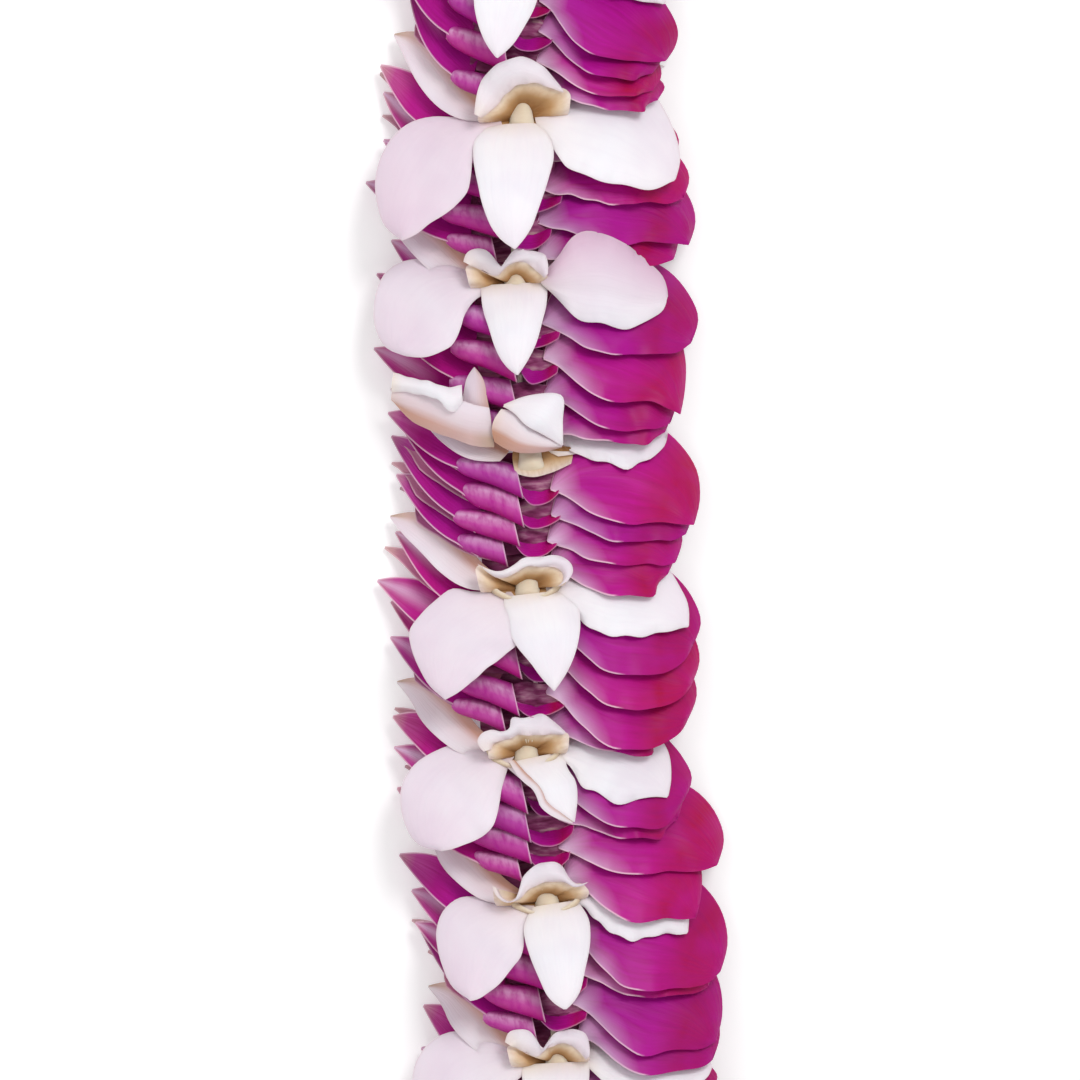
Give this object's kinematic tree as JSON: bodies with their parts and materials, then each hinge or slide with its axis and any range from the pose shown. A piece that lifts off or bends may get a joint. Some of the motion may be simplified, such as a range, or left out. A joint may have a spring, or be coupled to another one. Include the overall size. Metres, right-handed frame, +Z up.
{
  "type": "fresh flower lei",
  "caption": "Closed garland of white and magenta dendrobium orchid blossoms nested face to back on a cotton string, laid flat as an oval ring worn round the neck.",
  "frame": {"origin": "middle of the lei's box, on the surface that it lies on", "axes": "+Z up off the surface, +Y along the loop's longer way, +X across it; the blossoms face clockwise along the string seen from above, so those on the -X side face +Y"},
  "size_m": [0.236, 0.4262, 0.0313],
  "materials": {
    "white_petal": "satin",
    "magenta_petal": "satin",
    "cotton_string": "matte"
  },
  "bodies": {
    "root": {"thread": "cotton_string", "white_blossom_01": "white_petal", "magenta_blossoms_01": "magenta_petal", "white_blossom_02": "white_petal", "magenta_blossoms_02": "magenta_petal", "white_blossom_03": "white_petal", "magenta_blossoms_03": "magenta_petal", "white_blossom_04": "white_petal", "magenta_blossoms_04": "magenta_petal", "white_blossom_05": "white_petal", "magenta_blossoms_05": "magenta_petal", "white_blossom_06": "white_petal", "magenta_blossoms_06": "magenta_petal", "white_blossom_07": "white_petal", "magenta_blossoms_07": "magenta_petal", "white_blossom_08": "white_petal", "magenta_blossoms_08": "magenta_petal", "white_blossom_09": "white_petal", "magenta_blossoms_09": "magenta_petal", "white_blossom_10": "white_petal", "magenta_blossoms_10": "magenta_petal", "white_blossom_11": "white_petal", "magenta_blossoms_11": "magenta_petal", "white_blossom_12": "white_petal", "magenta_blossoms_12": "magenta_petal", "white_blossom_13": "white_petal", "magenta_blossoms_13": "magenta_petal", "white_blossom_14": "white_petal", "magenta_blossoms_14": "magenta_petal", "white_blossom_15": "white_petal", "magenta_blossoms_15": "magenta_petal", "white_blossom_16": "white_petal", "magenta_blossoms_16": "magenta_petal", "white_blossom_17": "white_petal", "magenta_blossoms_17": "magenta_petal", "white_blossom_18": "white_petal", "magenta_blossoms_18": "magenta_petal", "white_blossom_19": "white_petal", "magenta_blossoms_19": "magenta_petal", "white_blossom_20": "white_petal", "magenta_blossoms_20": "magenta_petal", "white_blossom_21": "white_petal", "magenta_blossoms_21": "magenta_petal", "white_blossom_22": "white_petal", "magenta_blossoms_22": "magenta_petal", "white_blossom_23": "white_petal", "magenta_blossoms_23": "magenta_petal", "white_blossom_24": "white_petal", "magenta_blossoms_24": "magenta_petal", "white_blossom_25": "white_petal", "magenta_blossoms_25": "magenta_petal", "white_blossom_26": "white_petal", "magenta_blossoms_26": "magenta_petal", "white_blossom_27": "white_petal", "magenta_blossoms_27": "magenta_petal", "white_blossom_28": "white_petal", "magenta_blossoms_28": "magenta_petal"}
  },
  "joints": []
}
